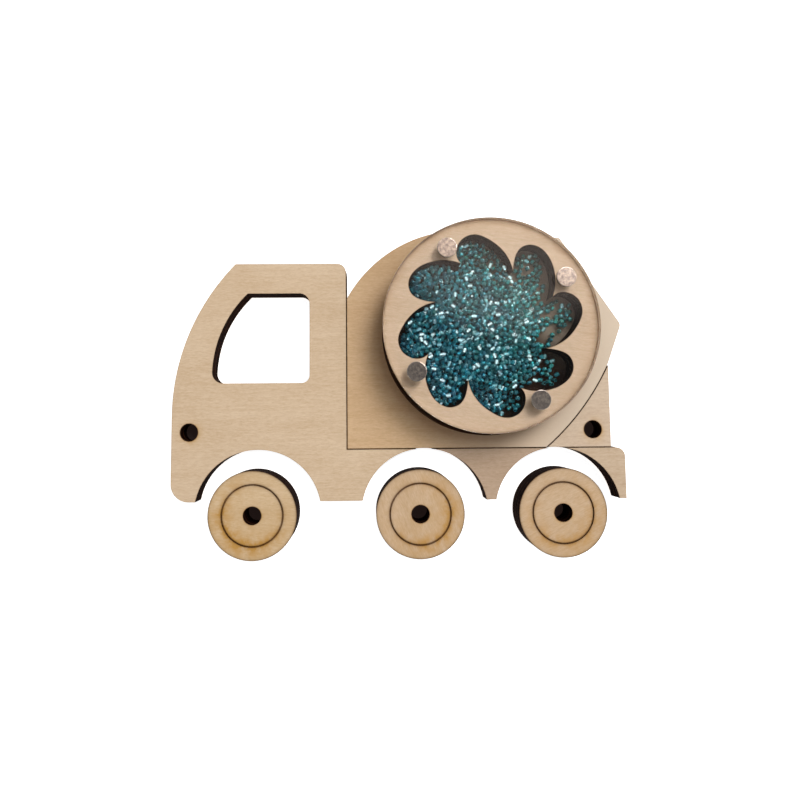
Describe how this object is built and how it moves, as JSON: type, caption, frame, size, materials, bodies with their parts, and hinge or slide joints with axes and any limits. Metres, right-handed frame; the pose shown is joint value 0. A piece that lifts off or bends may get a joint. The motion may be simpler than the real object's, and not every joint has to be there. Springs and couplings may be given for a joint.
{
  "type": "toy cement mixer",
  "caption": "Flat plywood cement mixer truck for a busy board, with a turning drum disc that holds glass beads under a clear cover, and loose spinning wheels.",
  "frame": {"origin": "middle of the truck's outline, wheels included, on the plane that it lies on", "axes": "+Z out of the truck's face, +X from the cab to the tail, +Y up on the truck"},
  "size_m": [0.2034, 0.148, 0.0196],
  "materials": {
    "body_ply": "bare birch plywood, sanded, with edges burnt dark by the laser",
    "drum_panel_ply": "bare birch plywood, a little tanner than the cab",
    "drum_ply": "bare birch plywood, with edges burnt dark by the laser",
    "wheel_ply": "golden birch plywood with yellow-brown scorch marks and an engraved ring",
    "clear_acrylic": "clear cast acrylic, polished edge",
    "bead_glass": "teal glass seed beads with silver-lined holes",
    "pin_metal": "satin, faintly turned end faces",
    "zinc_steel": "bright zinc plate",
    "nylon": "natural nylon"
  },
  "bodies": {
    "truck": {"back_panel": "body_ply", "cab_panel": "body_ply", "mid_leg_panel": "body_ply", "rear_bumper_panel": "body_ply", "drum_panel": "drum_panel_ply", "tail_panel": "body_ply", "spacer_washer": "nylon", "pivot_washer": "zinc_steel"},
    "drum": {"drum_floor": "drum_ply", "drum_ring": "drum_ply", "drum_cover": "clear_acrylic", "bead_fill": "bead_glass", "cover_pin_1": "pin_metal", "cover_pin_2": "pin_metal", "cover_pin_3": "pin_metal", "cover_pin_4": "pin_metal", "pivot_screw": "zinc_steel", "pivot_nut": "zinc_steel"},
    "wheel_front": {"wheel_front": "wheel_ply"},
    "wheel_middle": {"wheel_middle": "wheel_ply"},
    "wheel_rear": {"wheel_rear": "wheel_ply"}
  },
  "joints": [
    {"name": "drum_spin", "type": "hinge", "parent": "truck", "child": "drum", "pos_m": [0.0386, 0.0269, 0], "axis": [0, 0, 1], "continuous": true},
    {"name": "wheel_front_spin", "type": "hinge", "parent": "truck", "child": "wheel_front", "pos_m": [-0.0649, -0.0545, 0], "axis": [0, 0, 1], "continuous": true},
    {"name": "wheel_middle_spin", "type": "hinge", "parent": "truck", "child": "wheel_middle", "pos_m": [0.0089, -0.0545, 0], "axis": [0, 0, 1], "continuous": true},
    {"name": "wheel_rear_spin", "type": "hinge", "parent": "truck", "child": "wheel_rear", "pos_m": [0.072, -0.0545, 0], "axis": [0, 0, 1], "continuous": true}
  ]
}
